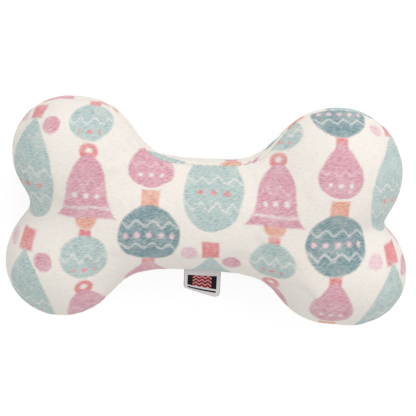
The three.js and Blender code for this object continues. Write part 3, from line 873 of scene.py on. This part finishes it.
def sewing_tree():
    """Sets one stitch after the other along a path, each turned to it and slanted."""
    tree = bpy.data.node_groups.new("sewing", "GeometryNodeTree")
    sockets = {}
    for label, way, kind in (
            ("Path", "INPUT", "NodeSocketGeometry"), ("Pitch", "INPUT", "NodeSocketFloat"),
            ("Stitch size", "INPUT", "NodeSocketVector"), ("Slant", "INPUT", "NodeSocketFloat"),
            ("Thread", "INPUT", "NodeSocketMaterial"), ("Stitches", "OUTPUT", "NodeSocketGeometry")):
        sockets[label] = tree.interface.new_socket(label, in_out=way, socket_type=kind).identifier

    def step(kind, feeds=None, **settings):
        """Adds a node, sets it up and links each of its inputs to an output of an earlier node."""
        node = tree.nodes.new(kind)
        for name, value in settings.items():
            setattr(node, name, value)
        for name, (source, outlet) in (feeds or {}).items():
            tree.links.new(source.outputs[outlet], node.inputs[name])
        return node

    entry = step("NodeGroupInput")
    curve = step("GeometryNodeMeshToCurve", {"Mesh": (entry, "Path")})
    spaced = step("GeometryNodeResampleCurve", {"Curve": (curve, "Curve"), "Length": (entry, "Pitch")},
                  mode="LENGTH")
    stitch = step("GeometryNodeMeshUVSphere")
    set_inputs(stitch, {"Segments": 8, "Rings": 8, "Radius": 1})
    sized = step("GeometryNodeTransform", {"Geometry": (stitch, "Mesh"), "Scale": (entry, "Stitch size")})
    smooth = step("GeometryNodeSetShadeSmooth", {"Geometry": (sized, "Geometry")})
    tangent = step("GeometryNodeInputTangent")
    along = step("FunctionNodeAlignRotationToVector", {"Vector": (tangent, "Tangent")}, axis="X")
    outward = step("GeometryNodeInputNamedAttribute", data_type="FLOAT_VECTOR")
    set_inputs(outward, {"Name": "outward"})
    upright = step("FunctionNodeAlignRotationToVector",
                   {"Rotation": (along, "Rotation"), "Vector": (outward, "Attribute")},
                   axis="Z", pivot_axis="X")
    slant = step("FunctionNodeAxisAngleToRotation", {"Angle": (entry, "Slant")})
    slanted = step("FunctionNodeRotateRotation",
                   {"Rotation": (upright, "Rotation"), "Rotate By": (slant, "Rotation")},
                   rotation_space="LOCAL")
    placed = step("GeometryNodeInstanceOnPoints",
                  {"Points": (spaced, "Curve"), "Instance": (smooth, "Geometry"),
                   "Rotation": (slanted, "Rotation")})
    realized = step("GeometryNodeRealizeInstances", {"Geometry": (placed, "Instances")})
    painted = step("GeometryNodeSetMaterial",
                   {"Geometry": (realized, "Geometry"), "Material": (entry, "Thread")})
    step("NodeGroupOutput", {"Stitches": (painted, "Geometry")})
    return tree, sockets


def spun_thread():
    material, tree, shader = new_material("spun_thread")
    place = tree.nodes.new("ShaderNodeTexCoord").outputs["Object"]
    fuzz = noise_over(tree, place, scale=4000, detail=2)
    thread = Layers(tree, thread_colour)
    thread.lay(Amount(tree, fuzz.outputs["Fac"]), thread_fuzz_colour)
    tree.links.new(thread.colour, shader.inputs["Base Color"])
    set_inputs(shader, {"Roughness": 0.8, "Sheen Weight": 0.2})
    link_bump(tree, shader, fuzz.outputs["Fac"], strength=0.4, distance=0.0001)
    return material


thread_material = spun_thread()
sewing, sewing_sockets = sewing_tree()


def sewn(name, node, turns, closed, depth, pitch, stitch_size, slant):
    points, outward = seam_path(turns, depth)
    links = [(i, (i + 1) % len(points)) for i in range(len(points) if closed else len(points) - 1)]
    mesh = bpy.data.meshes.new(name)
    mesh.from_pydata((points + heart).tolist(), links, [])
    mesh.attributes.new("outward", "FLOAT_VECTOR", "POINT").data.foreach_set("vector", outward.ravel())
    thread = put_in_scene(name, mesh)
    modifier = thread.modifiers.new("sewing", "NODES")
    modifier.node_group = sewing
    settings = {"Pitch": pitch, "Stitch size": stitch_size, "Slant": slant, "Thread": thread_material}
    for label, value in settings.items():
        modifier[sewing_sockets[label]] = value
    as_plain_mesh(thread)
    while thread.data.materials[0] is None:
        thread.data.materials.pop(index=0)
    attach(thread, "toy_body")
    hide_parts(node)


seam_turns = np.arange(seam_steps) * 4 / seam_steps
machine_size = (machine_stitch_share * machine_stitch, thread_radius, thread_radius)
sewn("machine_stitches", "seam_thread", seam_turns, True, machine_depth, machine_stitch, machine_size, 0.0)
gap_places = turning_gap_x + np.linspace(-turning_gap_half, turning_gap_half, gap_steps)
gap_turns = 2.5 - gap_places / (2 * shank_half_length)
closing_size = (closing_stitch_share * hand_stitch, closing_radius, closing_radius)
sewn("closing_stitches", "closing_thread", gap_turns, False, closing_depth, hand_stitch, closing_size,
     closing_slant)


# The side label: a woven ribbon, folded in two and caught by its ends in the lower seam. Its left edge
# droops, so the fold is twisted, and its corners are rounded.
label_length = 0.016
label_layer = 0.0004
label_tail_height = 0.0002
label_flap_height = 0.00045
label_corner = 0.003
label_droop = math.radians(33)
label_droop_run = 0.004
label_droop_steps = 33
label_parting_run = 0.004
label_columns = 28
label_rows = 44
fold_rows = 8
flap_low, flap_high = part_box("label_flap")
label_root = np.array(((flap_low.x + flap_high.x) / 2, flap_low.y + label_length, heart[2]))
label_half_width = (flap_high.x - flap_low.x) / 2
label_tail_end = label_root[1] - tail_high.y


def label_path():
    """Places on the folded ribbon's middle line: out along its front, round the fold and back."""
    reach = label_length - label_flap_height - label_layer / 2
    out = np.linspace(label_tail_end, reach, label_rows)
    parted = smooth_step(out, 0, label_parting_run)
    lift = label_tail_height + (label_flap_height - label_tail_height) * parted
    swing = np.linspace(math.pi / 2, -math.pi / 2, fold_rows + 1)[1:-1]
    turned = label_flap_height * np.stack((np.cos(swing), np.sin(swing)), axis=1) + (reach, 0)
    front = np.stack((out, lift), axis=1)
    back = np.stack((out[::-1], -lift[::-1]), axis=1)
    return np.concatenate((front, turned, back))


def on_label(share, out, lift):
    """A place of the label: share is -1 at the left edge and 1 at the right, out is from the root."""
    run = np.maximum(out, 0)
    angle = label_droop * (1 - share) / 2
    steps = np.linspace(0, 1, label_droop_steps)
    bend = angle[:, None] * smooth_step(run[:, None] * steps, 0, label_droop_run)
    forth = run * np.cos(bend).mean(1) + np.minimum(out, 0)
    down = run * np.sin(bend).mean(1)
    last = bend[:, -1]
    rounded = np.maximum(out - (label_length - label_corner), 0)
    half = label_half_width - label_corner + np.sqrt(np.maximum(label_corner ** 2 - rounded ** 2, 0))
    y = -forth - lift * np.sin(last)
    z = lift * np.cos(last) - down
    return label_root + np.stack((share * half, y, z), axis=1)


path = label_path()
path_step = np.gradient(path, axis=0)
path_normal = np.stack((-path_step[:, 1], path_step[:, 0]), axis=1)
path_normal /= np.linalg.norm(path_normal, axis=1)[:, None]
path_run = np.concatenate(([0], np.cumsum(np.linalg.norm(np.diff(path, axis=0), axis=1))))
path_run -= path_run[-1] / 2
shares = np.linspace(-1, 1, label_columns + 1)
label_verts, label_cut = [], []
for lift in (label_layer / 2, -label_layer / 2):
    lane = path + path_normal * lift
    grid_share = np.repeat(shares, len(lane))
    lane_out, lane_lift = np.tile(lane.T, len(shares))
    label_verts.append(on_label(grid_share, lane_out, lane_lift))
    label_cut.append(np.stack((grid_share * label_half_width, np.tile(-path_run, len(shares))), axis=1))
label_verts = np.concatenate(label_verts)
label_cut = np.concatenate(label_cut)
label_grid = np.arange(len(shares) * len(path)).reshape(len(shares), len(path))
inner_grid = label_grid + label_grid.size
label_faces = quads_between(label_grid, closed=False) + quads_between(inner_grid[::-1], closed=False)
label_rims = [np.concatenate((grid[0, :-1], grid[:-1, -1], grid[-1, :0:-1], grid[:0:-1, 0]))
              for grid in (label_grid, inner_grid)]
label_faces += quads_between(label_rims, closed=True)
side_label = new_piece("woven_side_label", label_verts, label_faces)
mend_shell(side_label)
keep_flat_cut(side_label, label_cut)


def woven_ribbon():
    """A cream ribbon with a woven field of red zigzags between two navy bars, over a navy rule."""
    material, tree, shader = new_material("woven_ribbon")
    x, y = (length * mm_per_metre for length in split(tree, flat_place(tree)))
    thread_edge = 0.22
    design_half_width = 8.2
    cream = linear(243, 238, 238)
    navy = linear(14, 15, 26)
    red = linear(152, 26, 38)
    rose = linear(206, 104, 106)
    weave_shade = linear(186, 182, 182)

    def bar(amount, middle, half):
        return (abs(amount - middle) - half).within(thread_edge)

    cloth = Layers(tree, cream)
    field = bar(y, 8.6, 4.0)
    swing = ((x / 3.4).math("PINGPONG", 0.5) - 0.25) * 3.2
    band = ((y + swing) / 2.3).math("PINGPONG", 0.5)
    design = bar(x, 0, design_half_width)
    cloth.lay(field * design, red)
    cloth.lay(field * design * (band - 0.16).within(0.12), rose)
    cloth.lay(field * design * (band - 0.07).within(0.08), cream)
    for middle in (-6.9, 6.9):
        cloth.lay(field * bar(x, middle, 1.5), navy)
    cloth.lay(bar(y, 2.9, 0.55) * design, navy)
    floats = (y / 1.3).math("PINGPONG", 0.5)
    cloth.lay((abs(x) * -1 + 10.1).within(thread_edge) * (floats - 0.2).within(0.1), navy)
    weft = (x * (2 * math.pi / 0.42)).math("SINE")
    warp = (y * (2 * math.pi / 0.36)).math("SINE")
    weave = weft * warp
    cloth.lay((weave * 0.5).math("ADD", 0.1, clamp=True), weave_shade, "MULTIPLY")
    tree.links.new(cloth.colour, shader.inputs["Base Color"])
    set_inputs(shader, {"Roughness": 0.75, "Specular IOR Level": 0.2})
    link_bump(tree, shader, weave.socket, strength=0.5, distance=0.00012)
    return material


side_label.data.materials.append(woven_ribbon())
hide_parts("label_flap", "label_tail")
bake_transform(side_label)


# The stuffing: loose white polyester fibre, pushed in as six wads through the turning gap. One wad fills
# each knob, and two close round the squeaker in the shank.
wad_quad = 0.0035
wad_weld = 0.00001
wad_inset = 0.0024
wad_least_inset = 0.0012
wad_lump = 0.0011
wad_lump_size = 0.009
wad_lump_decay = 0.7
wad_lump_finer = 2.1
wad_lump_octaves = 3
knob_squeezed_share = 0.8
shank_squeezed_share = 0.6
fibre_colour = linear(250, 250, 248)
# A grey painted over the white fibre as the shade in its hollows.
fibre_painted_shade_colour = linear(222, 223, 222)


def teased_fibre():
    material, tree, shader = new_material("teased_fibre")
    place = tree.nodes.new("ShaderNodeTexCoord").outputs["Object"]
    tangle = noise_over(tree, place, scale=260, detail=6, roughness=0.75, distortion=2.5)
    fibre = Layers(tree, fibre_colour)
    # Painted shade: the fibre is greyed in noise patches that stand for the shade in the hollows of its
    # tangle.
    painted_hollow_shade = (Amount(tree, tangle.outputs["Fac"]) - 0.4).math("MULTIPLY", 1.2, clamp=True)
    fibre.lay(painted_hollow_shade, fibre_painted_shade_colour)
    tree.links.new(fibre.colour, shader.inputs["Base Color"])
    set_inputs(shader, {"Roughness": 0.9, "Sheen Weight": 0.4})
    link_bump(tree, shader, tangle.outputs["Fac"], strength=0.8, distance=0.001)
    return material


fibre_material = teased_fibre()


def fibre_wad(name, node, keep):
    wad = put_in_scene(name, bpy.data.objects[node].data.copy())
    wad.data.materials.clear()
    mend_shell(wad, wad_weld)
    even_quads(wad, wad_quad)
    wad.data.shade_smooth()
    places = places_of(wad.data)
    normals = np.empty(places.size)
    wad.data.vertices.foreach_get("normal", normals)
    lumps = np.array([
        noise.fractal(Vector(place) / wad_lump_size, wad_lump_decay, wad_lump_finer, wad_lump_octaves)
        for place in places])
    depth = np.maximum(wad_inset + wad_lump * lumps, wad_least_inset)
    places -= normals.reshape(-1, 3) * depth[:, None]
    wad.data.vertices.foreach_set("co", places.ravel())
    wad.data.materials.append(fibre_material)
    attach(wad, "toy_body")
    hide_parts(node)
    if keep < 1:
        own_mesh(wad)


knobs = ("upper_left", "lower_left", "upper_right", "lower_right")
for knob in knobs:
    fibre_wad(knob + "_wad", knob + "_fill", knob_squeezed_share)
fibre_wad("shank_front_wad", "shank_front_fill", shank_squeezed_share)
fibre_wad("shank_back_wad", "shank_back_fill", 1)


# The squeaker's bulb: one blow-moulded piece of soft, milky polyethylene. Its crown and base are turned
# dishes, and the folded wall between them gives when the shank is squeezed.
bellows_low, bellows_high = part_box("squeaker_bellows")
bellows_radius = (bellows_high.x - bellows_low.x) / 2
bellows_wall = 0.001
bellows_fold = 0.003
bellows_folds = 2
bellows_turns = 96
bellows_steps = 48


def lathe(name, profile, turns):
    """Turns a closed profile of radius and height round the middle of the squeaker."""
    angles = np.arange(turns) * 2 * math.pi / turns
    radius, height = profile.T
    x = np.outer(np.cos(angles), radius) + heart[0]
    y = np.outer(np.sin(angles), radius) + heart[1]
    z = np.tile(height, (turns, 1))
    verts = np.stack((x, y, z), axis=2).reshape(-1, 3)
    lanes = np.arange(len(verts)).reshape(turns, len(profile))
    return new_piece(name, verts, quads_between(np.concatenate((lanes[:1], lanes[::-1])), closed=True))


fold_height = np.linspace(bellows_low.z, bellows_high.z, bellows_steps + 1)
fold_swing = 2 * math.pi * bellows_folds * (fold_height - bellows_low.z) / (bellows_high.z - bellows_low.z)
fold_outer = bellows_radius - bellows_fold * (1 - np.cos(fold_swing)) / 2
outer_lane = np.stack((fold_outer, fold_height), axis=1)
inner_lane = np.stack((fold_outer - bellows_wall, fold_height), axis=1)[::-1]
bulb_bellows = lathe("bulb_bellows", np.concatenate((outer_lane, inner_lane)), bellows_turns)


def moulded_plastic(name, colour, cloud_colour, roughness, grain, grain_depth):
    """Moulded plastic with faint flow clouds and a fine surface grain."""
    material, tree, shader = new_material(name)
    place = tree.nodes.new("ShaderNodeTexCoord").outputs["Object"]
    flow = noise_over(tree, place, scale=140, detail=3, distortion=0.8)
    skin = Layers(tree, colour)
    skin.lay((Amount(tree, flow.outputs["Fac"]) - 0.35).math("MULTIPLY", 1.6, clamp=True), cloud_colour)
    tree.links.new(skin.colour, shader.inputs["Base Color"])
    rubbed = (Amount(tree, flow.outputs["Fac"]) - 0.5) * 0.2 + roughness
    tree.links.new(rubbed.socket, shader.inputs["Roughness"])
    fine = noise_over(tree, place, scale=grain, detail=2)
    link_bump(tree, shader, fine.outputs["Fac"], strength=0.3, distance=grain_depth)
    return material, shader


milky_plastic, milky_shader = moulded_plastic(
    "milky_polyethylene", linear(226, 230, 232), linear(240, 242, 243), roughness=0.42, grain=1800,
    grain_depth=0.00006)
set_inputs(milky_shader, {"Subsurface Weight": 0.35, "Subsurface Radius": (0.002, 0.002, 0.002)})
bulb_bellows.data.materials.append(milky_plastic)
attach(bulb_bellows, "toy_body")
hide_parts("squeaker_bellows")
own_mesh(bulb_bellows)


def finish_nodes(material, *nodes):
    for node in nodes:
        bpy.data.objects[node].material_slots[0].material = material


finish_nodes(milky_plastic, "squeaker_crown", "squeaker_base")


# The whistle: a flanged tube of hard plastic in the bulb's neck, with a half-round seat and a wedge in
# its bore. They hold the end of the reed, a strip of clear film that beats on the seat.
hard_plastic, hard_shader = moulded_plastic(
    "hard_white_plastic", linear(242, 240, 235), linear(234, 231, 225), roughness=0.3, grain=2600,
    grain_depth=0.00003)
set_inputs(hard_shader, {"Coat Weight": 0.15})
finish_nodes(hard_plastic, "whistle_body", "reed_seat", "reed_wedge")
clear_film, film_shader = moulded_plastic(
    "clear_film", linear(206, 214, 217), linear(222, 228, 230), roughness=0.18, grain=3200,
    grain_depth=0.00002)
set_inputs(film_shader, {"Transmission Weight": 0.7})
finish_nodes(clear_film, "reed")
